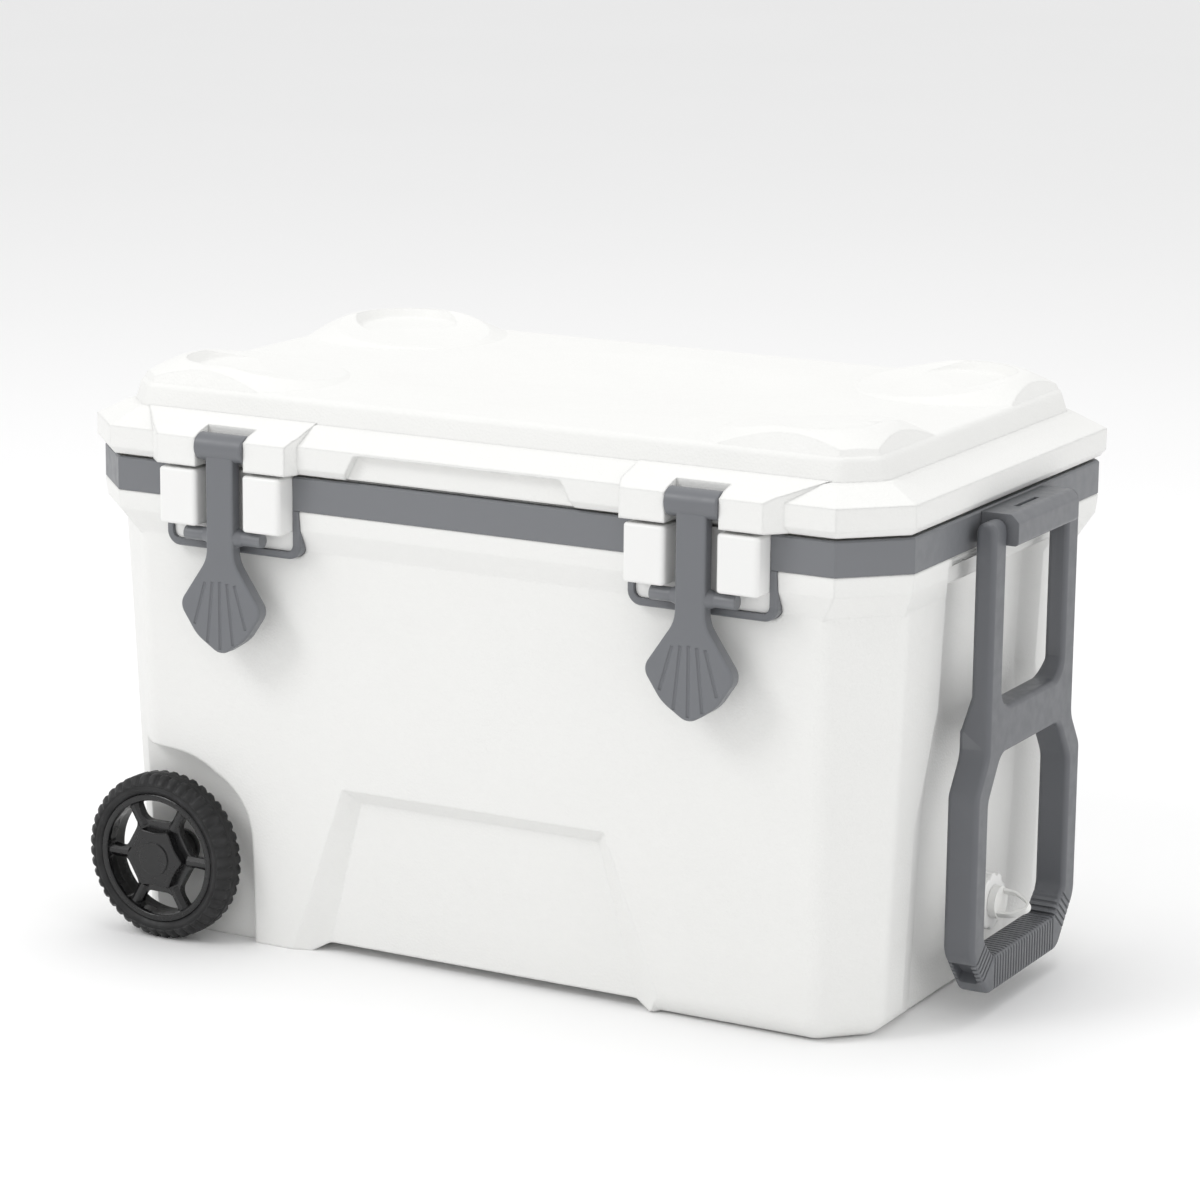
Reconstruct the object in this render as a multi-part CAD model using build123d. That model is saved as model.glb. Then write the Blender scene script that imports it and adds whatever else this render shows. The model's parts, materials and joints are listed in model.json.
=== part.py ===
from build123d import *
import math
import os

# Wheeled cooler, in millimetres. X runs along the box towards the tow handle, -Y is the latch side, Z is up and the
# ground is Z = 0. Every part is drawn about the box's own middle plane and moved by BOX_X when it is written, so that
# the whole cooler, bracket included, is centred on the origin.
BOX_X = -13.5

# ---- driving dimensions: (half length, half width, corner cut) of the eight-sided outlines
BAND = (345, 212, 42)
WALL_TOP = (334.5, 202, 43.5)
WALL_BOTTOM = (320.5, 188.5, 36)
NECK = (338, 205, 40)
SKIRT = (348, 218, 42)
MOUTH = (309, 176, 31)
TUB_FLOOR = (295, 162, 25)
WALL_TOP_Z = 324
BAND_LOW, BAND_HIGH = 352, 378
NECK_TOP = 376
FLANGE_TOP = 378.6
LID_LOW = 380.5
LID_FLAT = 432
LID_TOP = 446.5
DISH_X = 248
DISH_Y = 121
DISH_Z = 439
BOWL_LENGTH = 376
BOWL_WIDTH = 262
BOWL_DEPTH = 4
SHELL = 3.5
LINER = 2.5
LINER_FLOOR = 50
STEP_X, STEP_FLOOR = -205, 90

WHEEL_X, WHEEL_R = -268, 65.5
WHEEL_OUT, WHEEL_IN = 222, 193
AXLE_R = 6
WELL_WALL = 180
RUN = 0.05

LATCH_X = 199
LATCH_Y, LATCH_Z = -222, 396
LATCH_PIN_R = 3

HINGE_X = 185
HINGE_Y, HINGE_Z = 225, 380.5
KNUCKLE_R = 7.5
HINGE_PIN_R = 3

HANDLE_FRONT, HANDLE_BACK, ARM_BACK = 367, 342.5, 351
HANDLE_X, HANDLE_Z = 359, 365.5
ARM_IN, ARM_OUT = 57, 79.5
HANDLE_PIN_R = 5

DRAIN_Z = 68
DRAIN_R = 11
DRAIN_SEAT = 316


# ---- shared shapes
def octagon(a, b, c, z):
    corners = [(a - c, -b), (a, c - b), (a, b - c), (a - c, b)]
    corners += [(-x, -y) for x, y in corners]
    return Wire.make_polygon([(x, y, z) for x, y in corners], close=True)


def octa_loft(*levels):
    """Straight-sided solid through eight-sided outlines, each given as (height, (half length, half width, cut))."""
    return Part() + Solid.make_loft([octagon(*size, z) for z, size in levels], ruled=True)


def shrink(size, inset):
    """The outline moved inwards by the same distance on all eight sides."""
    a, b, c = size
    return (a - inset, b - inset, c - inset * (2 - math.sqrt(2)))


def between(low, high, share):
    return tuple(p + (q - p) * share for p, q in zip(low, high))


def wall_at(z):
    return between(WALL_BOTTOM, WALL_TOP, z / WALL_TOP_Z)


def outline(plane, corners):
    """A face on a plane from (u, v, corner radius) triples."""
    path = FilletPolyline(*[(u, v) for u, v, r in corners], radius=[r for u, v, r in corners], close=True)
    return plane * make_face(path)


def plate(plane, corners, near, far):
    """The outline as a solid that runs from near to far along the plane's normal."""
    face = outline(plane.offset(near), corners)
    return extrude(face, far - near)


def block(x0, x1, y0, y1, z0, z1):
    return Pos((x0 + x1) / 2, (y0 + y1) / 2, (z0 + z1) / 2) * Box(x1 - x0, y1 - y0, z1 - z0)


def round_bar(x, y, z, axis, radius, near, far):
    """A cylinder along X, Y or Z between two positions on that axis."""
    turn = {"X": Rotation(0, 90, 0), "Y": Rotation(90, 0, 0), "Z": Rotation(0, 0, 0)}[axis]
    middle = (near + far) / 2
    centre = {"X": (middle, y, z), "Y": (x, middle, z), "Z": (x, y, middle)}[axis]
    return Pos(*centre) * turn * Cylinder(radius, far - near)


def ring(x, y, z, axis, outer, inner, near, far):
    return round_bar(x, y, z, axis, outer, near, far) - round_bar(x, y, z, axis, inner, near - 1, far + 1)


def pan_screw(x, y, z, axis, sign, shank=2, length=14):
    """A pan-head screw whose head stands on the point given, facing along sign times the axis."""
    start = {"X": x, "Y": y, "Z": z}[axis]
    head = round_bar(x, y, z, axis, 2 * shank, *sorted((start, start + sign * 2)))
    stem = round_bar(x, y, z, axis, shank, *sorted((start, start - sign * length)))
    slot = {"X": (2, 1, 5), "Y": (1, 2, 5), "Z": (5, 1, 2)}[axis]
    place = {"X": (start + sign * 2, y, z), "Y": (x, start + sign * 2, z), "Z": (x, y, start + sign * 2)}[axis]
    return head + stem - Pos(*place) * Box(*slot)


def write(node, shape):
    export_step(Pos(BOX_X, 0, 0) * shape, f"parts/{node}.step")


FRONT = Plane(origin=(0, 0, 0), x_dir=(1, 0, 0), z_dir=(0, -1, 0))
END = Plane(origin=(0, 0, 0), x_dir=(0, 1, 0), z_dir=(1, 0, 0))


# ---- recesses of the box, as the solids that are cut away; grow makes each one larger for the cavity behind it
def tapered_recess(wall, floor, plane, depth):
    """A pocket with sloping sides: wall is its outline at the surface, floor its outline at the full depth."""
    out = [(2 * w[0] - f[0], 2 * w[1] - f[1]) for w, f in zip(wall, floor)]
    far = [plane.offset(depth).from_local_coords(Vector(u, v, 0)) for u, v in out]
    near = [plane.offset(-depth).from_local_coords(Vector(u, v, 0)) for u, v in floor]
    wires = [Wire.make_polygon(points, close=True) for points in (far, near)]
    return Part() + Solid.make_loft(wires, ruled=True)


def front_recess(side, grow=0):
    lean = math.atan2(WALL_TOP[1] - WALL_BOTTOM[1], WALL_TOP_Z)
    normal = (0, side * math.cos(lean), -math.sin(lean))
    plane = Plane(origin=(0, side * WALL_BOTTOM[1], 0), x_dir=(-side, 0, 0), z_dir=normal)
    wall = [(-170 - grow, -20), (-113 - grow, 136 + grow), (113 + grow, 136 + grow), (170 + grow, -20)]
    floor = [(-141 - grow, -20), (-103 - grow, 125 + grow), (103 + grow, 125 + grow), (141 + grow, -20)]
    cut = tapered_recess(wall, floor, plane, 10)
    if grow:
        shift = Vector(*normal) * -grow
        cut = Pos(*shift) * cut
    return cut


def end_recess(grow=0):
    lean = math.atan2(WALL_TOP[0] - WALL_BOTTOM[0], WALL_TOP_Z)
    normal = (math.cos(lean), 0, -math.sin(lean))
    plane = Plane(origin=(WALL_BOTTOM[0], 0, 0), x_dir=(0, 1, 0), z_dir=normal)
    half_wall = [(118 + grow, -20), (118 + grow, 150), (90 + grow, 235), (90 + grow, 352)]
    half_floor = [(86 + grow, -20), (86 + grow, 156), (70 + grow, 238), (70 + grow, 352)]
    wall = half_wall + [(-u, v) for u, v in reversed(half_wall)]
    floor = half_floor + [(-u, v) for u, v in reversed(half_floor)]
    cut = tapered_recess(wall, floor, plane, 9)
    if grow:
        shift = Vector(*normal) * -grow
        cut = Pos(*shift) * cut
    return cut


def wheel_well(side, grow=0):
    top = 150 + grow
    right = WHEEL_X + 71 + grow
    corners = [(-360, -10, 0), (right, -10, 0), (right, 114, 55), (right - 52, top - 4, 70), (-360, top + 4, 0)]
    cut = plate(FRONT, corners, WELL_WALL - grow, 260)
    return cut if side < 0 else mirror(cut, Plane.XZ)


def grab_pocket(grow=0):
    cut = block(-360, -313 + grow, -62 - grow, 62 + grow, 284 - grow, 320 + grow)
    return fillet(cut.edges().filter_by(Axis.X), 12)


def keeper_window(x, grow=0):
    """The notch in rim and wall that takes a keeper and its surround."""
    half, low, deep = 60.2 + grow, 313.8 - grow, 200 - grow
    corners = [(-half, low, 11), (half, low, 11), (half, 400, 0), (-half, 400, 0)]
    return Pos(x, 0, 0) * plate(FRONT, corners, deep, 240)


def wheel_positions():
    return ((-1, "front"), (1, "rear"))


# ---- body
def body_shell():
    box = octa_loft((0, WALL_BOTTOM), (WALL_TOP_Z, WALL_TOP))
    box = fillet(box.edges().filter_by(lambda e: abs(e.tangent_at(0.5).Z) > 0.5), 18)
    channel = outline(FRONT.offset(-260), [(-150, -1, 0), (-134, 8, 12), (134, 8, 12), (150, -1, 0)])
    box -= extrude(channel, 520)
    box = fillet(box.faces().sort_by(Axis.Z)[0].outer_wire().edges(), 20)
    bead = octa_loft((318, shrink(WALL_TOP, 1)), (337, shrink(BAND, 1.5)), (350.5, BAND), (352, shrink(BAND, 1)))
    box += bead
    for side in (-1, 1):
        box -= front_recess(side)
        box -= wheel_well(side)
    box -= end_recess()
    box -= grab_pocket()
    box += octa_loft((330, shrink(NECK, 0.1)), (NECK_TOP, NECK))
    for x in (-LATCH_X, LATCH_X):
        box -= keeper_window(x)
    box -= body_cavity()
    for side, name in wheel_positions():
        box -= round_bar(WHEEL_X, 0, WHEEL_R, "Y", 9, *sorted((side * 170, side * 190)))
    box += ring(0, 0, DRAIN_Z, "X", 26, DRAIN_R, 313, DRAIN_SEAT)
    box -= round_bar(0, 0, DRAIN_Z, "X", DRAIN_R + 2, 280, 340)
    return box


def body_cavity():
    """The room between the shell and the liner, which the foam fills."""
    room = octa_loft(
        (12, shrink(WALL_BOTTOM, 17)),
        (27, shrink(wall_at(27), SHELL)),
        (WALL_TOP_Z, shrink(WALL_TOP, SHELL)),
        (NECK_TOP + 1, shrink(NECK, 3.2)),
    )
    for side in (-1, 1):
        room -= front_recess(side, SHELL)
        room -= wheel_well(side, SHELL)
    room -= end_recess(SHELL)
    room -= grab_pocket(SHELL)
    for x in (-LATCH_X, LATCH_X):
        room -= keeper_window(x, SHELL)
    return room


def liner_outside():
    tub = octa_loft((LINER_FLOOR - LINER, shrink(TUB_FLOOR, -LINER)), (NECK_TOP, shrink(MOUTH, -LINER)))
    return tub - block(-320, STEP_X - LINER, -200, 200, 0, STEP_FLOOR - LINER)


def liner_inside():
    tub = octa_loft((LINER_FLOOR, TUB_FLOOR), (FLANGE_TOP + 1, MOUTH))
    return tub - block(-320, STEP_X, -200, 200, 0, STEP_FLOOR)


def body_foam():
    foam = body_cavity() & block(-400, 400, -300, 300, 0, NECK_TOP)
    foam -= liner_outside()
    foam -= round_bar(WHEEL_X, 0, WHEEL_R, "Y", AXLE_R + 0.5, -220, 220)
    for side, name in wheel_positions():
        foam -= round_bar(WHEEL_X, 0, WHEEL_R, "Y", 9, *sorted((side * 160, side * 190)))
    foam -= round_bar(0, 0, DRAIN_Z, "X", DRAIN_R + 2, 280, 340)
    return foam


def body_liner():
    flange = octa_loft((NECK_TOP, shrink(NECK, 0.8)), (FLANGE_TOP, shrink(NECK, 0.8)))
    tub = liner_outside() + flange - liner_inside()
    for x in (-LATCH_X, LATCH_X):
        tub -= keeper_window(x, 0.2)
    return tub - round_bar(0, 0, DRAIN_Z, "X", DRAIN_R + 2, 280, 340)


def trim_band(front):
    """The grey rim band: the short piece between the latches, or the long one that wraps the other sides."""
    band = octa_loft((BAND_LOW, BAND), (BAND_HIGH - 1.5, BAND), (BAND_HIGH, shrink(BAND, 1.5)))
    band -= octa_loft((BAND_LOW - 1, shrink(NECK, -0.2)), (BAND_HIGH + 1, shrink(NECK, -0.2)))
    middle = block(-LATCH_X + 54.3, LATCH_X - 54.3, -230, -190, 340, 400)
    whole = block(-LATCH_X - 54.3, LATCH_X + 54.3, -230, -190, 340, 400)
    return band & middle if front else band - whole


def keeper():
    """White base plate with the two blocks that the latch's cross bar hooks under."""
    part = plate(FRONT, [(-54, 320, 6), (54, 320, 6), (54, 377.5, 0), (-54, 377.5, 0)], 204, 209)
    for side in (-1, 1):
        lug = block(*sorted((side * 20.5, side * 54)), -231, -206, 335, 378)
        lug = fillet(lug.edges().filter_by(Axis.Z).sort_by(Axis.Y)[:2], 4)
        lug = fillet(lug.faces().sort_by(Axis.Y)[0].outer_wire().edges(), 2.5)
        part += lug
    for z in (345, 366):
        part -= round_bar(0, 0, z, "Y", 2, -215, -200)
    return part


def keeper_surround():
    outer = [(-60, 314, 11), (60, 314, 11), (60, 351.7, 0), (-60, 351.7, 0)]
    inner = [(-54.2, 319.8, 6), (54.2, 319.8, 6), (54.2, 400, 0), (-54.2, 400, 0)]
    frame = plate(FRONT, outer, 200.2, 212)
    frame = fillet(frame.faces().sort_by(Axis.Y)[0].outer_wire().edges().sort_by(Axis.Z)[:-1], 2.5)
    return frame - plate(FRONT, inner, 203.8, 220)


# ---- lid
def plateau(top):
    """The raised middle of the lid, whose wall leans in a little; it is cut off level at the height given."""
    low, high = shrink(SKIRT, 27), shrink(SKIRT, 27 + (top - 412) * 0.3)
    hill = octa_loft((412, low), (top, high))
    return fillet(hill.edges().filter_by(lambda e: abs(e.tangent_at(0.5).Z) > 0.5), 12)


def mound(radius_low, radius_high, low, high):
    """A low round hill with a softened brow."""
    section = [(0, low - 4, 0), (radius_low, low - 4, 0), (radius_low, low, 0), (radius_high, high, 24), (0, high, 0)]
    return revolve(outline(Plane.XZ, section), Axis.Z)


def cup_dish():
    """The round tray that a can or cup stands in."""
    section = [(0, DISH_Z, 0), (39, DISH_Z, 3), (44.5, LID_TOP + 1, 0), (0, LID_TOP + 1, 0)]
    return revolve(outline(Plane.XZ, section), Axis.Z)


def middle_bowl():
    """The long, very shallow hollow in the middle of the lid: the underside of a flattened ball."""
    radius = 6 * BOWL_DEPTH
    spread = math.sqrt(1 - (5 / 6) ** 2) * 2
    ball = scale(Sphere(1), by=(BOWL_LENGTH / spread, BOWL_WIDTH / spread, radius))
    return Pos(0, 0, LID_FLAT + 5 * BOWL_DEPTH) * ball


def lid_shell():
    lid = octa_loft((LID_LOW, shrink(SKIRT, 4)), (385.5, SKIRT), (402, SKIRT), (414, shrink(SKIRT, 23)),
                    (415, shrink(SKIRT, 30)))
    middle = plateau(LID_FLAT)
    lid += fillet(middle.faces().sort_by(Axis.Z)[-1].outer_wire().edges(), 5)
    hills = Part()
    for sx in (-1, 1):
        for sy in (-1, 1):
            hills += Pos(sx * DISH_X, sy * DISH_Y, 0) * mound(83, 50, LID_FLAT - 0.5, LID_TOP)
    lid += hills & octa_loft((425, shrink(SKIRT, 32)), (450, shrink(SKIRT, 44)))
    for sx in (-1, 1):
        lid += latch_boss(sx)
    for sx in (-1, 1):
        for sy in (-1, 1):
            lid -= Pos(sx * DISH_X, sy * DISH_Y, 0) * cup_dish()
    lid -= middle_bowl()
    for sx in (-1, 1):
        lid -= latch_notch(sx * LATCH_X)
    lid -= grip_groove()
    lid -= lid_cavity()
    for sx in (-1, 1):
        reach = 33
        lid -= round_bar(sx * LATCH_X, LATCH_Y, LATCH_Z, "X", LATCH_PIN_R, sx * LATCH_X - reach, sx * LATCH_X + reach)
    return lid


def latch_boss(sx):
    """The thickened stretch of skirt that carries a latch, with a slanting flank on its outer side."""
    flat = [(-58, -229), (56, -229), (67, -218), (90, -190), (90, -180), (-62, -180), (-62, -218)]
    face = make_face(Polyline(*[(sx * (LATCH_X + u), v) for u, v in flat], close=True))
    boss = extrude(Pos(0, 0, LID_LOW) * face, 40)
    top = [(-229, 22), (-222, 26), (-192, 35), (-170, 35), (-170, 60), (-240, 60), (-240, 22)]
    trim = make_face(Polyline(*[(0, y, LID_LOW + z) for y, z in top], close=True))
    return boss - extrude(Pos(-400, 0, 0) * trim, 800, dir=(1, 0, 0))


def latch_notch(x):
    return block(x - 21.5, x + 21.5, -260, -210.5, 370, 411)


def grip_groove():
    """The finger groove along the middle of the front skirt."""
    path = [(-100, LID_LOW - 5, 0), (100, LID_LOW - 5, 0), (87, 400, 4), (-87, 400, 4)]
    return plate(FRONT, path, 211, 240)


def lid_cavity():
    room = octa_loft(
        (LID_LOW - 1, shrink(SKIRT, 8)),
        (402, shrink(SKIRT, 5)),
        (412, shrink(SKIRT, 28)),
        (425, shrink(SKIRT, 38)),
    )
    for sx in (-1, 1):
        room -= block(sx * LATCH_X - 36, sx * LATCH_X + 36, -230, -205, 370, 420)
        room -= block(sx * HINGE_X - 34, sx * HINGE_X + 34, 204, 230, 370, 420)
    room -= block(-106, 106, -230, -206, 370, 420)
    return room


def plug_room():
    """The hollow inside the lid panel's plug, which the lid's foam fills."""
    return octa_loft((366 + LINER, shrink(MOUTH, 7 + LINER)), (LID_LOW + LINER, shrink(MOUTH, 5 + LINER)))


def lid_liner():
    """The lid's inner panel, with the raised plug that fits the mouth of the box."""
    rim = octa_loft((LID_LOW, shrink(SKIRT, 15)), (LID_LOW + LINER, shrink(SKIRT, 15)))
    plug = octa_loft((366, shrink(MOUTH, 7)), (LID_LOW + 1, shrink(MOUTH, 5)))
    groove = octa_loft((379, shrink(MOUTH, -20)), (381.7, shrink(MOUTH, -20)))
    groove -= octa_loft((378, shrink(MOUTH, -12)), (383, shrink(MOUTH, -12)))
    return rim + plug - plug_room() - groove


def lid_foam():
    foam = lid_cavity() & block(-400, 400, -300, 300, LID_LOW + LINER, 440)
    return foam + plug_room()


def lid_gasket():
    seal = octa_loft((379.0, shrink(MOUTH, -19)), (381.7, shrink(MOUTH, -20)))
    return seal - octa_loft((378, shrink(MOUTH, -13)), (381.7, shrink(MOUTH, -12)))


# ---- latches
def latch():
    """Grey toggle: round head on the pin, flat arm, cross bar that hooks under the keeper, and shell-shaped tab."""
    side = [(0, 237, 12), (-22, 251, 30), (-37.5, 274, 11), (-12, 311, 26), (-12, 398, 0)]
    tab = side + [(-u, v, r) for u, v, r in reversed(side[1:])]
    arm = plate(FRONT, tab, 220, 230)
    arm = fillet(arm.faces().sort_by(Axis.Y)[0].outer_wire().edges().filter_by_position(Axis.Z, 200, 380), 2)
    head = round_bar(0, LATCH_Y, LATCH_Z, "X", 10.5, -21, 21)
    head = fillet(head.edges().filter_by(GeomType.CIRCLE), 1.5)
    part = arm + head
    half = [(5.4, 34), (5.4, 17.5), (7.6, 11), (7.6, -11), (5.4, -17.5), (5.4, -34)]
    rod = make_face(Polyline((0, -34), (0, 34), *[(r, x) for r, x in half], close=True))
    part += Pos(0, LATCH_Y, 328.2) * Rotation(0, 90, 0) * Rotation(90, 0, 0) * revolve(rod, Axis.Y)
    for i in range(-2, 3):
        low = (i * 11.5, 242 + 4.4 * i * i)
        high = (i * 6.6, 294.5 - abs(i) * 0.8)
        part -= groove_bar(low, high, 230.6, 1.5)
    return part - round_bar(0, LATCH_Y, LATCH_Z, "X", LATCH_PIN_R + RUN, -30, 30)


def groove_bar(low, high, y, radius):
    """A straight round-bottomed groove across a front face, between two (x, z) points."""
    start, end = Vector(low[0], -y, low[1]), Vector(high[0], -y, high[1])
    direction = end - start
    plane = Plane(origin=start, z_dir=direction)
    return extrude(plane * Circle(radius), direction.length)


def latch_pin():
    pin = round_bar(0, LATCH_Y, LATCH_Z, "X", LATCH_PIN_R, -32, 32)
    return fillet(pin.edges().filter_by(GeomType.CIRCLE), 0.5)


# ---- rear hinges
def hinge_body_leaf():
    leaf = plate(Plane(origin=(0, 212.2, 0), x_dir=(-1, 0, 0), z_dir=(0, 1, 0)),
                 [(-32, 338, 5), (32, 338, 5), (32, 375, 0), (-32, 375, 0)], 0, 4)
    for side in (-1, 1):
        near, far = sorted((side * 12, side * 32))
        leaf += round_bar(0, HINGE_Y, HINGE_Z, "X", KNUCKLE_R, near, far)
        web = plate(END, [(212.2, 362, 0), (216, 362, 0), (232, 378, 4), (225, 381, 0), (217.6, 379, 0),
                          (212.2, 374, 0)], near, far)
        leaf += web
    leaf -= round_bar(0, HINGE_Y, HINGE_Z, "X", HINGE_PIN_R, -40, 40)
    for x in (-20, 20):
        leaf -= round_bar(x, 0, 347, "Y", 2.1, 205, 225)
    return leaf


def hinge_lid_leaf():
    leaf = plate(Plane(origin=(0, 218, 0), x_dir=(-1, 0, 0), z_dir=(0, 1, 0)),
                 [(-30, 389.5, 0), (30, 389.5, 0), (30, 402, 3), (-30, 402, 3)], 0, 3.6)
    leaf += round_bar(0, HINGE_Y, HINGE_Z, "X", KNUCKLE_R, -11.6, 11.6)
    leaf += plate(END, [(218, 386, 0), (226, 380.5, 0), (232, 383, 0), (221.6, 398, 0), (218, 398, 0)], -11.6, 11.6)
    leaf -= round_bar(0, HINGE_Y, HINGE_Z, "X", HINGE_PIN_R + RUN, -40, 40)
    for x in (-21, 21):
        leaf -= round_bar(x, 0, 396, "Y", 2.1, 205, 225)
    return leaf


def hinge_pin():
    pin = round_bar(0, HINGE_Y, HINGE_Z, "X", HINGE_PIN_R, -32, 32)
    return fillet(pin.edges().filter_by(GeomType.CIRCLE), 0.5)


# ---- tow handle
def tow_handle():
    half = [(ARM_OUT, 378, 0), (ARM_OUT, 200, 20), (97, 174, 14), (97, 54, 22), (66, 17, 14)]
    frame = half + [(-u, v, r) for u, v, r in reversed(half)]
    blank = plate(END, frame, HANDLE_BACK, HANDLE_FRONT)
    gap = [(-ARM_IN, 233, 16), (ARM_IN, 233, 16), (ARM_IN, 400, 0), (-ARM_IN, 400, 0)]
    blank -= plate(END, gap, 330, 380)
    hole = [(-75, 62, 12), (-56, 45, 16), (56, 45, 16), (75, 62, 12), (75, 166, 16), (54, 198, 16), (-54, 198, 16),
            (-75, 166, 16)]
    blank -= plate(END, hole, 330, 380)
    relief = [(HANDLE_BACK - 5, 216, 0), (HANDLE_BACK, 216, 6), (ARM_BACK, 244, 10), (ARM_BACK, 400, 0),
              (HANDLE_BACK - 5, 400, 0)]
    blank -= plate(Plane.XZ, relief, -150, 150)
    crown = block(330, 380, -120, 120, HANDLE_Z, 400)
    crown -= round_bar(HANDLE_X, 0, HANDLE_Z, "Y", 8, -130, 130)
    blank -= crown
    blank = fillet(blank.edges().filter_by(handle_edge), 4)
    for side in (-1, 1):
        blank -= round_bar(HANDLE_X, 0, HANDLE_Z, "Y", HANDLE_PIN_R + RUN, *sorted((side * 50, side * 73)))
        corner = Pos(HANDLE_X - 4.5, side * 86, 32) * Rotation(side * 40, 0, 0)
        blank -= corner * fillet(Box(15, 24, 24).edges().filter_by(Axis.Z), 3)
    for i in range(-11, 12):
        blank -= grip_rib(i * 5, 31, 0, 14)
    for side in (-1, 1):
        for t in (-9, -4, 1, 6, 11):
            blank -= grip_rib(side * (73.5 + 0.64 * t), 44.5 + 0.77 * t, side * 50, 12)
    return blank


def handle_edge(edge):
    """The long edges of the handle's front and back faces."""
    middle = edge.center()
    on_face = abs(middle.X - HANDLE_FRONT) < 0.01 or abs(middle.X - HANDLE_BACK) < 0.01
    return on_face and middle.Z < 360


def grip_rib(y, z, lean, half):
    """One shallow groove all round the grip, square to the bar's run at that point."""
    outer = Box(40, 2.2, 2 * half + 12)
    core = Box(HANDLE_FRONT - HANDLE_BACK - 2, 4, 2 * half - 2)
    return Pos((HANDLE_FRONT + HANDLE_BACK) / 2, y, z) * Rotation(lean, 0, 0) * (outer - core)


def handle_bracket():
    body = [(345.2, 354, 0), (375, 354, 3), (375, 371, 3), (369, 377, 4), (345.2, 377, 0)]
    bracket = plate(Plane.XZ, body, -56.5, 56.5)
    pocket = [(349, 340, 0), (371, 340, 0), (371, 368, 3), (367, 373, 3), (349, 373, 0)]
    bracket -= plate(Plane.XZ, pocket, -50, 50)
    for side in (-1, 1):
        boss = block(351, 367, *sorted((side * 38, side * 50)), 355, 374)
        bracket += boss
        bracket -= round_bar(HANDLE_X, 0, HANDLE_Z, "Y", HANDLE_PIN_R, *sorted((side * 42, side * 60)))
        bracket -= round_bar(0, side * 20, 362, "X", 2.1, 340, 352)
    slot = block(357, 361, -26, 14, 365, 390)
    return bracket - slot


def handle_pin(side):
    pin = round_bar(HANDLE_X, 0, HANDLE_Z, "Y", HANDLE_PIN_R, *sorted((side * 42.2, side * 72.5)))
    return fillet(pin.edges().filter_by(GeomType.CIRCLE), 0.6)


# ---- wheels
def axle():
    rod = round_bar(WHEEL_X, 0, WHEEL_R, "Y", AXLE_R, 9 - WHEEL_OUT, WHEEL_OUT - 9)
    return fillet(rod.edges().filter_by(GeomType.CIRCLE), 0.8)


def axle_bush():
    bush = ring(WHEEL_X, 0, WHEEL_R, "Y", 9, AXLE_R, -WELL_WALL, -168)
    return bush + ring(WHEEL_X, 0, WHEEL_R, "Y", 14, AXLE_R, -WELL_WALL - 3, -WELL_WALL)


def axle_retainer():
    return ring(WHEEL_X, 0, WHEEL_R, "Y", 10, AXLE_R, 10 - WHEEL_OUT, 12.6 - WHEEL_OUT)


def tyre():
    """Solid rubber tyre: a turned section with a rounded shoulder, which seats on the rim."""
    section = [(51.2, WHEEL_IN + 2), (59, WHEEL_IN), (WHEEL_R, WHEEL_IN + 6), (WHEEL_R, WHEEL_OUT - 7),
               (59.5, WHEEL_OUT), (51.2, WHEEL_OUT - 1.5)]
    radii = [0, 4, 5, 5, 5, 0]
    return turned([(r, y, q) for (r, y), q in zip(section, radii)])


def turned(section):
    """A solid of revolution about the axle from (radius, distance from the middle plane, corner radius) triples."""
    plane = Plane(origin=(WHEEL_X, 0, WHEEL_R), x_dir=(1, 0, 0), z_dir=(0, 0, 1))
    axis = Axis((WHEEL_X, 0, WHEEL_R), (0, 1, 0))
    return revolve(outline(plane, [(r, -y, q) for r, y, q in section]), axis)


def wheel_rim():
    """Rim with a long hub that runs on the axle, six windows and six ridged spokes on its outer face."""
    face, disc, back, seat = WHEEL_OUT - 1.4, WHEEL_OUT - 6, WHEEL_OUT - 12.4, WHEEL_OUT - 9.8
    rim = turned([(AXLE_R + RUN, WELL_WALL + 3.5, 0), (13, WELL_WALL + 3.5, 0), (13, back, 0), (46.5, back, 0),
                  (46.5, WHEEL_IN + 3, 0), (51, WHEEL_IN + 3, 0), (51, face, 1.5), (46, face, 1.5), (44.5, disc, 0),
                  (13, disc, 0), (13, seat, 0), (10.5, seat, 0), (10.5, back - 0.6, 0), (AXLE_R + RUN, back - 0.6, 0)])
    spoke = make_face(Polyline((5, 0.5 - disc), (-5, 0.5 - disc), (-1.5, -disc - 2.6), (1.5, -disc - 2.6), close=True))
    ridge = extrude(Plane(origin=(0, 0, 27), x_dir=(1, 0, 0), z_dir=(0, 0, 1)) * spoke, 18)
    window = outline(FRONT.offset(back - 5), [(-13, 28, 10), (13, 28, 10), (19, 42, 3), (0, 46, 30), (-19, 42, 3)])
    opening = extrude(window, 20)
    for k in range(6):
        turn = Pos(WHEEL_X, 0, WHEEL_R) * Rotation(0, 60 * k + 30, 0)
        rim += turn * ridge
        rim -= turn * Rotation(0, 30, 0) * opening
    return rim


def hub_cap():
    """Six-pointed cap with slightly hollow sides and a round disc in its middle, snapped over the axle's end."""
    corners = []
    for k in range(6):
        point, side = math.radians(60 * k), math.radians(60 * k + 30)
        corners.append((26 * math.cos(point), 26 * math.sin(point), 2.5))
        corners.append((20.8 * math.cos(side), 20.8 * math.sin(side), 30))
    cap = plate(FRONT, corners, WHEEL_OUT - 5.8, WHEEL_OUT + 1)
    cap = fillet(cap.faces().sort_by(Axis.Y)[0].outer_wire().edges(), 1.2)
    cap += Pos(0, -WHEEL_OUT - 1, 0) * Rotation(90, 0, 0) * Cylinder(13, 2)
    return Pos(WHEEL_X, 0, WHEEL_R) * cap


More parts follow.
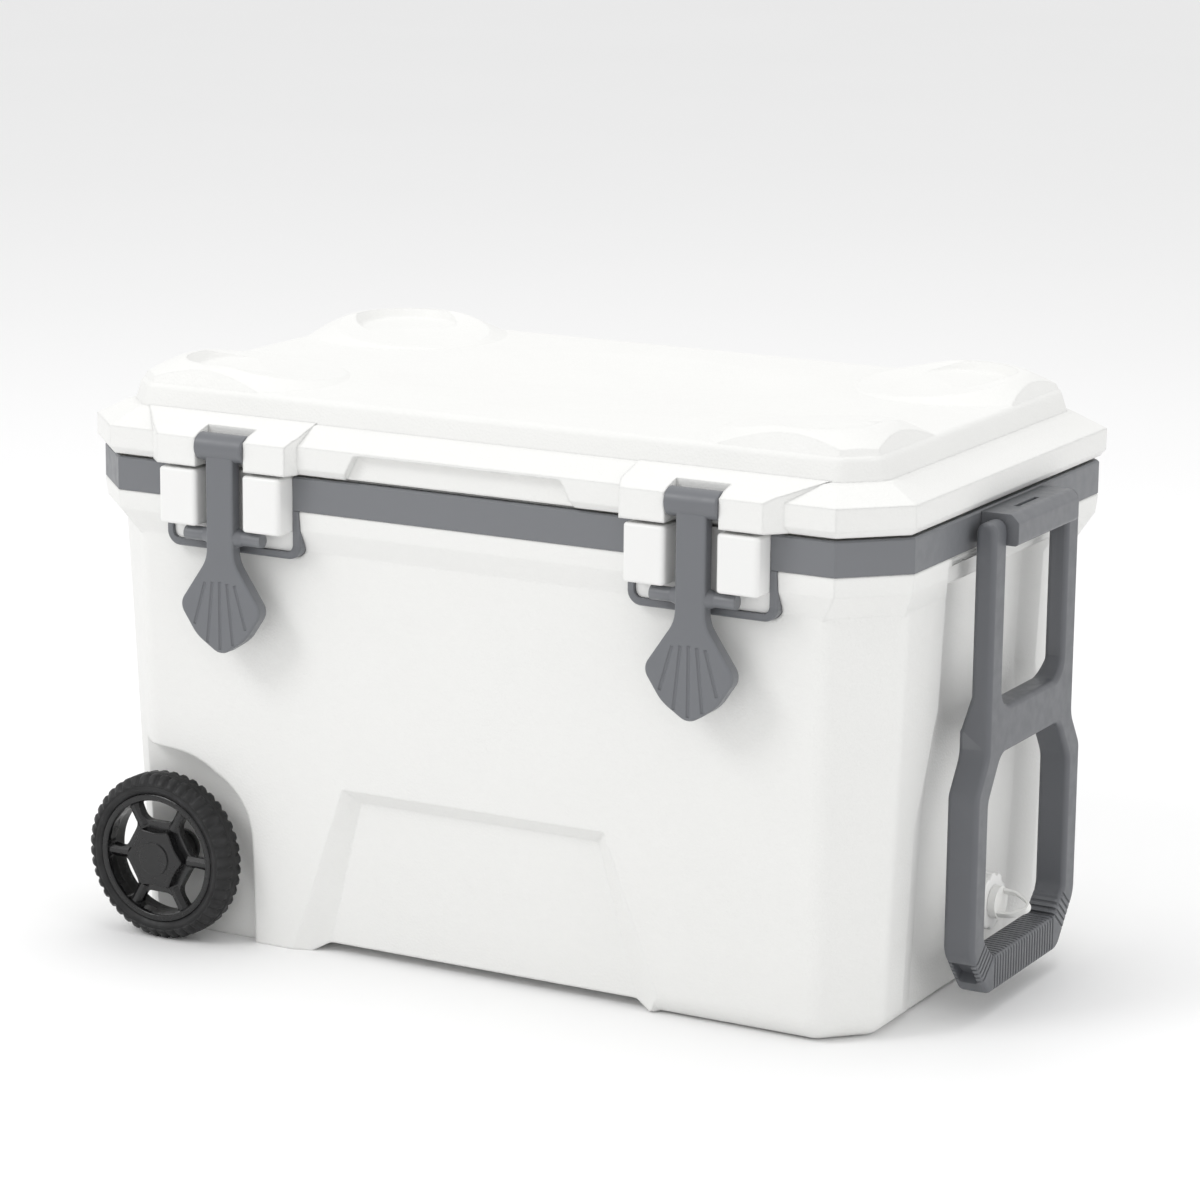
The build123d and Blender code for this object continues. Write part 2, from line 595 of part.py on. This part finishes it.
# ---- drain
def drain_fitting():
    """Flanged spout through the end wall; its outer end is threaded for the cap."""
    flange = ring(0, 0, DRAIN_Z, "X", 22, DRAIN_R, DRAIN_SEAT, DRAIN_SEAT + 3)
    spout = ring(0, 0, DRAIN_Z, "X", DRAIN_R + 1.9, DRAIN_R, 282, 336)
    return flange + spout


def drain_nut():
    nut = extrude(Plane(origin=(283, 0, DRAIN_Z), z_dir=(1, 0, 0)) * RegularPolygon(18, 6), 7)
    return nut - round_bar(0, 0, DRAIN_Z, "X", DRAIN_R + 1.9, 270, 300)


def drain_gasket():
    return ring(0, 0, DRAIN_Z, "X", 18, DRAIN_R + 2, 290.1, 292.4)


def drain_cap():
    """Screw cap with a scalloped rim and a small hub for the pull loop."""
    cap = round_bar(0, 0, DRAIN_Z, "X", 22, 323, 340.8)
    for k in range(10):
        angle = math.radians(36 * k)
        cap -= round_bar(0, 25 * math.cos(angle), DRAIN_Z + 25 * math.sin(angle), "X", 5, 320, 345)
    cap = fillet(cap.faces().sort_by(Axis.X)[-1].outer_wire().edges(), 1.5)
    cap -= round_bar(0, 0, DRAIN_Z, "X", DRAIN_R + 2 + RUN, 320, 337.5)
    return cap + round_bar(0, 0, DRAIN_Z, "X", 10, 340, 343)


def pull_loop():
    """Flexible loop on the cap's hub: a collar with a bowed strap."""
    collar = ring(0, 0, 0, "X", 12.5, 10.05, 341, 346)
    disc = round_bar(0, 0, 0, "X", 12.5, 343.1, 347)
    outer = [(345, -11, 0), (358, -10, 12), (375, 0, 5), (358, 10, 12), (345, 11, 0)]
    inner = [(340, -9, 0), (357, -8, 11), (372.7, 0, 3.5), (357, 8, 11), (340, 9, 0)]
    strap = extrude(outline(Plane.XY.offset(-3.5), outer), 7)
    strap -= extrude(outline(Plane.XY.offset(-5), inner), 10)
    loop = collar + disc + strap
    return Pos(0, 0, DRAIN_Z) * Rotation(50, 0, 0) * loop


# ---- write every node
def on_side(side, shape):
    """The shape as modelled at the front (side -1), or its mirror image at the rear."""
    return shape if side < 0 else mirror(shape, Plane.XZ)


def main():
    os.makedirs("parts", exist_ok=True)
    write("body_shell", body_shell())
    write("body_foam", body_foam())
    write("body_liner", body_liner())
    write("trim_band", trim_band(front=False))
    write("trim_band_front", trim_band(front=True))
    write("lid_shell", lid_shell())
    write("lid_foam", lid_foam())
    write("lid_liner", lid_liner())
    write("lid_gasket", lid_gasket())
    for sx, side in ((-1, "left"), (1, "right")):
        at_latch = Pos(sx * LATCH_X, 0, 0)
        write(f"keeper_{side}", at_latch * keeper())
        write(f"keeper_surround_{side}", at_latch * keeper_surround())
        write(f"latch_{side}", at_latch * latch())
        write(f"latch_pin_{side}", at_latch * latch_pin())
        at_hinge = Pos(sx * HINGE_X, 0, 0)
        write(f"hinge_body_leaf_{side}", at_hinge * hinge_body_leaf())
        write(f"hinge_lid_leaf_{side}", at_hinge * hinge_lid_leaf())
        write(f"hinge_pin_{side}", at_hinge * hinge_pin())
    write("keeper_screws", Compound([pan_screw(x, -209, z, "Y", -1, 2, 5)
                                     for x in (-LATCH_X, LATCH_X) for z in (345, 366)]))
    write("hinge_screws_body", Compound([pan_screw(sx * HINGE_X + x, 216.2, 347, "Y", 1, 2.1, 4)
                                         for sx in (-1, 1) for x in (-20, 20)]))
    write("hinge_screws_lid", Compound([pan_screw(sx * HINGE_X + x, 221.6, 396, "Y", 1, 2.1, 3.6)
                                        for sx in (-1, 1) for x in (-21, 21)]))
    write("tow_handle", tow_handle())
    write("handle_bracket", handle_bracket())
    write("bracket_screws", Compound([pan_screw(349, y, 362, "X", 1, 2.1, 3.8) for y in (-20, 20)]))
    write("axle", axle())
    for side, name in wheel_positions():
        write(f"handle_pin_{name}", handle_pin(side))
        write(f"axle_bush_{name}", on_side(side, axle_bush()))
        write(f"axle_retainer_{name}", on_side(side, axle_retainer()))
        write(f"tyre_{name}", on_side(side, tyre()))
        write(f"wheel_rim_{name}", on_side(side, wheel_rim()))
        write(f"hub_cap_{name}", on_side(side, hub_cap()))
    write("drain_fitting", drain_fitting())
    write("drain_nut", drain_nut())
    write("drain_gasket", drain_gasket())
    write("drain_cap", drain_cap())
    write("drain_pull_loop", pull_loop())


main()
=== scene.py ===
import json
import math

import bpy
from mathutils import Matrix, Vector


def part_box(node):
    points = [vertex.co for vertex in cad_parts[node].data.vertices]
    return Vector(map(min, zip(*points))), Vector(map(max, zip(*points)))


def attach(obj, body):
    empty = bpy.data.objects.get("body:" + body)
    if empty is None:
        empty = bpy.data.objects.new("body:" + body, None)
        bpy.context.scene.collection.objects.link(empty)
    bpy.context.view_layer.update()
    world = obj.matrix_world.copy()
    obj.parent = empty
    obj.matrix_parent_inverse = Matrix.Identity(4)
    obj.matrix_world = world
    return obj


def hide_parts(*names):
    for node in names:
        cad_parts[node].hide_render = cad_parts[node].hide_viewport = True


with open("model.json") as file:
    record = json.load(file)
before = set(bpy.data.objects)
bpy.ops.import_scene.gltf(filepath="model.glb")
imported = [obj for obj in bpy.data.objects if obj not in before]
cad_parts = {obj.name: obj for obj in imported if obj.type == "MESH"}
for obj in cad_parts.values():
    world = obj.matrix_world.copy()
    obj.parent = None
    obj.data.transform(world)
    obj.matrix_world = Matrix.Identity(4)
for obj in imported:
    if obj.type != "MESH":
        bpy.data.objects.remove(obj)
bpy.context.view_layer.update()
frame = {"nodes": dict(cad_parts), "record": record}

NODES = frame["nodes"]
MM = 0.001


# ---- procedural materials
class Nodes:
    """Short names for building one material's node tree."""

    def __init__(self, name):
        self.material = bpy.data.materials.new(name)
        self.material.use_nodes = True
        self.tree = self.material.node_tree
        self.shader = next(n for n in self.tree.nodes if n.type == "BSDF_PRINCIPLED")
        self.place = self.add("ShaderNodeTexCoord").outputs["Object"]

    def add(self, kind, **sockets):
        node = self.tree.nodes.new(kind)
        for key, value in sockets.items():
            self.put(node.inputs[key.replace("_", " ")], value)
        return node

    def put(self, socket, value):
        if hasattr(value, "is_output"):
            self.tree.links.new(value, socket)
        else:
            socket.default_value = value

    def noise(self, size, detail=2.0):
        """Noise from 0 to 1 whose blotches are about this many millimetres across."""
        node = self.add("ShaderNodeTexNoise", Vector=self.place, Scale=1 / (size * MM), Detail=detail)
        return node.outputs["Fac"]

    def cells(self, size):
        """Distance from the nearest of scattered points, a pebbled pattern with cells of this many mm."""
        node = self.add("ShaderNodeTexVoronoi", Vector=self.place, Scale=1 / (size * MM))
        return node.outputs["Distance"]

    def remap(self, value, low, high, to_low, to_high):
        node = self.add("ShaderNodeMapRange", Value=value)
        ends = {"From Min": low, "From Max": high, "To Min": to_low, "To Max": to_high}
        for key, number in ends.items():
            node.inputs[key].default_value = number
        return node.outputs["Result"]

    def mix(self, factor, first, second):
        node = self.add("ShaderNodeMix")
        node.data_type = "RGBA"
        self.put(node.inputs[0], factor)
        self.put(node.inputs[6], first)
        self.put(node.inputs[7], second)
        return node.outputs[2]

    def bump(self, height, depth, strength=1.0, normal=None):
        node = self.add("ShaderNodeBump", Height=height, Distance=depth * MM, Strength=strength)
        if normal:
            self.put(node.inputs["Normal"], normal)
        return node.outputs["Normal"]

    def rounded(self, radius):
        """Normals that round every sharp edge by this many millimetres."""
        node = self.add("ShaderNodeBevel", Radius=radius * MM)
        node.samples = 6
        return node.outputs["Normal"]

    def worn(self):
        """Convexity, which is higher along edges and corners."""
        return self.add("ShaderNodeNewGeometry").outputs["Pointiness"]


def moulded(name, colour, rough, pebble, depth, round_edge, spread=0.03, wear=0.06):
    """Moulded plastic: pebbled grain, colour drift, fine scuffs in the gloss and slightly paler edges.

    The lengths are the pebbles' size and depth and the radius that sharp edges are rounded by.
    """
    n = Nodes(name)
    dark = tuple(c * (1 - spread) for c in colour) + (1,)
    pale = tuple(min(1, c + wear * (1 - c) + spread * c * 0.3) for c in colour) + (1,)
    drift = n.mix(n.remap(n.noise(60, 4), 0.3, 0.7, 0, 1), dark, tuple(colour) + (1,))
    edges = n.remap(n.worn(), 0.52, 0.6, 0, 0.6)
    n.put(n.shader.inputs["Base Color"], n.mix(edges, drift, pale))
    scuffs = n.remap(n.noise(9, 6), 0.35, 0.65, rough - 0.05, rough + 0.06)
    n.put(n.shader.inputs["Roughness"], scuffs)
    n.put(n.shader.inputs["Specular IOR Level"], 0.5)
    grain = n.bump(n.cells(pebble), depth, normal=n.rounded(round_edge))
    fine = n.bump(n.noise(pebble * 0.5, 3), depth * 0.35, normal=grain)
    n.put(n.shader.inputs["Normal"], fine)
    return n.material


def rubber(name, colour, rough):
    """Moulded rubber with dusty mottling and a soft sheen."""
    n = Nodes(name)
    dusty = tuple(c * 1.8 + 0.006 for c in colour) + (1,)
    dust = n.remap(n.noise(14, 6), 0.42, 0.75, 0, 1)
    n.put(n.shader.inputs["Base Color"], n.mix(dust, tuple(colour) + (1,), dusty))
    n.put(n.shader.inputs["Roughness"], n.remap(n.noise(5, 5), 0.3, 0.7, rough - 0.08, rough + 0.08))
    n.put(n.shader.inputs["Specular IOR Level"], 0.4)
    n.put(n.shader.inputs["Normal"], n.bump(n.noise(0.9, 4), 0.06, normal=n.rounded(0.5)))
    return n.material


def steel(name):
    """Zinc-plated steel: bright, with a fine bumpy texture and faint cloudy patches."""
    n = Nodes(name)
    n.put(n.shader.inputs["Metallic"], 1.0)
    cloudy = n.remap(n.noise(7, 5), 0.3, 0.7, 0, 1)
    n.put(n.shader.inputs["Base Color"], n.mix(cloudy, (0.5, 0.5, 0.5, 1), (0.64, 0.64, 0.63, 1)))
    n.put(n.shader.inputs["Roughness"], n.remap(n.noise(2, 4), 0.3, 0.7, 0.26, 0.42))
    n.put(n.shader.inputs["Normal"], n.bump(n.noise(0.5, 3), 0.02, normal=n.rounded(0.3)))
    return n.material


def foam(name):
    """Rigid insulating foam with open cells on its cut faces."""
    n = Nodes(name)
    shade = n.mix(n.noise(12, 5), (0.78, 0.68, 0.46, 1), (0.9, 0.84, 0.64, 1))
    n.put(n.shader.inputs["Base Color"], shade)
    n.put(n.shader.inputs["Roughness"], 0.9)
    n.put(n.shader.inputs["Normal"], n.bump(n.cells(1.4), 0.5))
    return n.material


MATERIALS = {
    "shell_white": moulded("shell_white", (0.79, 0.79, 0.775), 0.52, 2.0, 0.16, 3.3, spread=0.012),
    "liner_white": moulded("liner_white", (0.85, 0.85, 0.84), 0.32, 3.5, 0.01, 1.5, spread=0.012),
    "smooth_white": moulded("smooth_white", (0.81, 0.81, 0.80), 0.36, 2.6, 0.012, 1.2, spread=0.012),
    "foam": foam("foam"),
    "trim_grey": moulded("trim_grey", (0.135, 0.141, 0.153), 0.42, 1.3, 0.02, 0.8),
    "latch_grey": moulded("latch_grey", (0.15, 0.156, 0.168), 0.4, 1.3, 0.025, 0.8),
    "handle_grey": moulded("handle_grey", (0.115, 0.12, 0.131), 0.4, 1.2, 0.035, 1.2),
    "steel": steel("steel"),
    "bush_black": moulded("bush_black", (0.02, 0.02, 0.02), 0.45, 1.0, 0.02, 0.5),
    "seal_rubber": rubber("seal_rubber", (0.3, 0.3, 0.31), 0.7),
    "tyre": rubber("tyre", (0.007, 0.007, 0.0075), 0.5),
    "rim_black": moulded("rim_black", (0.005, 0.005, 0.0055), 0.24, 1.6, 0.006, 0.8, wear=0.015),
    "drain_soft": moulded("drain_soft", (0.82, 0.82, 0.8), 0.4, 2.0, 0.015, 0.6, spread=0.012),
}
SLOT_OF = {row["node"]: row["material_slot"] for row in frame["record"]["subparts"]}
for node_name, obj in NODES.items():
    for socket in obj.material_slots:
        socket.material = MATERIALS[SLOT_OF[node_name]]


# ---- tyres with moulded shoulder lugs
LUGS = 44
# How open the groove between two lugs is, at each step from one lug to the next.
GROOVE_SHAPE = (1, 1, 0.35, 0, 0, 0, 0, 0.35)
GROOVE_DEPTH = 2.0
RIM_RADIUS = 51.2
# At either face a groove is cut along the axle by SIDE_SHARE of its depth, and towards the axle by FACE_SHARE.
# FADE_LENGTH further in, it is cut towards the axle alone. FADE_START applies to the outer face only.
FADE_START, FADE_LENGTH = 1, 6
FACE_SHARE, SIDE_SHARE = 0.25, 0.8


def tyre_section(inner, outer, tread):
    """The tyre's section from the rim's edge over the outer shoulder to the back: (radius, depth, groove).

    Depth runs inwards from the outer face, and groove is the share of the groove's depth that is cut there.
    """
    side_wall = [(inner, 1.5, 0), (53.5, 1.2, 0), (54.2, 0.4, 0), (56.2, 0.4, 0), (56.8, 1.0, 0),
                 (57.4, 0.9, 0)]
    shoulder = [(57.9, 0.3, 0.2), (58.8, 0.1, 0.8), (60.2, 0.9, 1), (61.8, 2.4, 1), (63.4, 4.2, 1),
                (64.8, 5.8, 1), (outer, 7.6, 1), (outer, 10, 1)]
    channel = [(outer - 0.4, 10.6, 0.4), (outer - 0.9, 11, 0), (outer - 0.9, 12.2, 0), (outer - 0.1, 12.8, 0)]
    tread_face = [(outer, 14, 0), (outer, tread - 11, 0)]
    back = [(outer, tread - 9.6, 1), (outer - 0.2, tread - 6.2, 1), (63, tread - 3.6, 1),
            (60.5, tread - 1.2, 0.6), (58, tread, 0), (inner, tread - 2, 0)]
    return side_wall + shoulder + channel + tread_face + back


def tyre_piece(node, side):
    """A tyre with lugs round both shoulders, in the CAD tyre's place; side is -1 in front, 1 at the rear."""
    low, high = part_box(node)
    centre = (low + high) / 2
    outer = (high.z - low.z) / 2 / MM
    width = (high.y - low.y) / MM
    face = (low.y if side < 0 else high.y) / MM
    section = tyre_section(RIM_RADIUS, outer, width)
    verts, faces, count = [], [], len(section)
    steps = len(GROOVE_SHAPE)
    total = LUGS * steps
    for step in range(total):
        angle = 2 * math.pi * step / total
        for radius, depth, groove in section:
            cut = GROOVE_DEPTH * groove * GROOVE_SHAPE[step % steps]
            outside = depth < width / 2
            behind_face = depth - FADE_START if outside else width - depth
            share = min(1, max(0, behind_face / FADE_LENGTH))
            r = radius - cut * (FACE_SHARE + (1 - FACE_SHARE) * share)
            d = depth + (cut if outside else -cut) * (1 - share) * SIDE_SHARE
            y = face - side * d
            verts.append((centre.x + r * MM * math.sin(angle), y * MM, centre.z + r * MM * math.cos(angle)))
    for i in range(total):
        for j in range(count):
            a, b = i * count + j, i * count + (j + 1) % count
            c, d = ((i + 1) % total) * count + (j + 1) % count, ((i + 1) % total) * count + j
            faces.append((a, b, c, d) if side < 0 else (d, c, b, a))
    mesh = bpy.data.meshes.new(node + "_ribbed")
    mesh.from_pydata(verts, [], faces)
    mesh.polygons.foreach_set("use_smooth", [True] * len(faces))
    mesh.materials.append(MATERIALS["tyre"])
    obj = bpy.data.objects.new(node + "_ribbed", mesh)
    bpy.context.collection.objects.link(obj)
    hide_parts(node)
    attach(obj, "wheel_front" if side < 0 else "wheel_rear")


# ---- studio: lengths in metres, power in watts, angles in degrees
FLOOR_HALF = 40.0
WORLD_STRENGTH = 0.86
CAMERA_TURN, CAMERA_DROP, CAMERA_ROLL = 28.704, 12.799, 0.588
CAMERA_PLACE = (1.45958, -2.6874, 0.95578)
CAMERA_LENS, SENSOR_WIDTH = 120.92, 36


def area_light(name, place, target, size, power):
    light = bpy.data.lights.new(name, "AREA")
    light.shape = "DISK"
    light.size = size
    light.energy = power
    obj = bpy.data.objects.new(name, light)
    bpy.context.collection.objects.link(obj)
    obj.location = place
    obj.rotation_mode = "QUATERNION"
    obj.rotation_quaternion = (Vector(target) - Vector(place)).to_track_quat("-Z", "Y")


def floor():
    half = FLOOR_HALF
    mesh = bpy.data.meshes.new("floor")
    corners = [(-half, -half, 0), (half, -half, 0), (half, half, 0), (-half, half, 0)]
    mesh.from_pydata(corners, [], [(0, 1, 2, 3)])
    obj = bpy.data.objects.new("floor", mesh)
    bpy.context.collection.objects.link(obj)
    n = Nodes("studio_floor")
    pale = n.mix(n.noise(900, 2), (0.93, 0.93, 0.93, 1), (0.95, 0.95, 0.95, 1))
    n.put(n.shader.inputs["Base Color"], pale)
    n.put(n.shader.inputs["Roughness"], 0.8)
    mesh.materials.append(n.material)


def studio():
    floor()
    world = bpy.data.worlds.new("studio")
    world.use_nodes = True
    back = next(n for n in world.node_tree.nodes if n.type == "BACKGROUND")
    back.inputs["Color"].default_value = (1, 1, 1, 1)
    back.inputs["Strength"].default_value = WORLD_STRENGTH
    bpy.context.scene.world = world
    area_light("key", (-1.9, -2.6, 2.9), (0, 0, 0.2), 1.5, 40)
    area_light("fill", (3.6, -0.5, 1.4), (0, 0, 0.2), 2.2, 12)
    area_light("top", (0.1, 0.5, 3.2), (0, 0, 0.3), 2.2, 22)
    bpy.context.scene.view_settings.view_transform = "Standard"


def camera():
    """The camera stands 28.7 degrees to the right of the latch side's middle and looks 12.8 degrees down."""
    turn, drop, roll = (math.radians(angle) for angle in (CAMERA_TURN, CAMERA_DROP, CAMERA_ROLL))
    back = Vector((math.sin(turn) * math.cos(drop), -math.cos(turn) * math.cos(drop), math.sin(drop)))
    right = (-back).cross(Vector((0, 0, 1))).normalized()
    up = right.cross(-back)
    side = right * math.cos(roll) + up * math.sin(roll)
    top = up * math.cos(roll) - right * math.sin(roll)
    data = bpy.data.cameras.new("camera")
    data.sensor_width = SENSOR_WIDTH
    data.lens = CAMERA_LENS
    data.clip_start = 0.1
    data.clip_end = 100
    obj = bpy.data.objects.new("camera", data)
    bpy.context.collection.objects.link(obj)
    obj.matrix_world = Matrix.Translation(CAMERA_PLACE) @ Matrix((side, top, back)).transposed().to_4x4()
    bpy.context.scene.camera = obj


tyre_piece("tyre_front", -1)
tyre_piece("tyre_rear", 1)
studio()
camera()
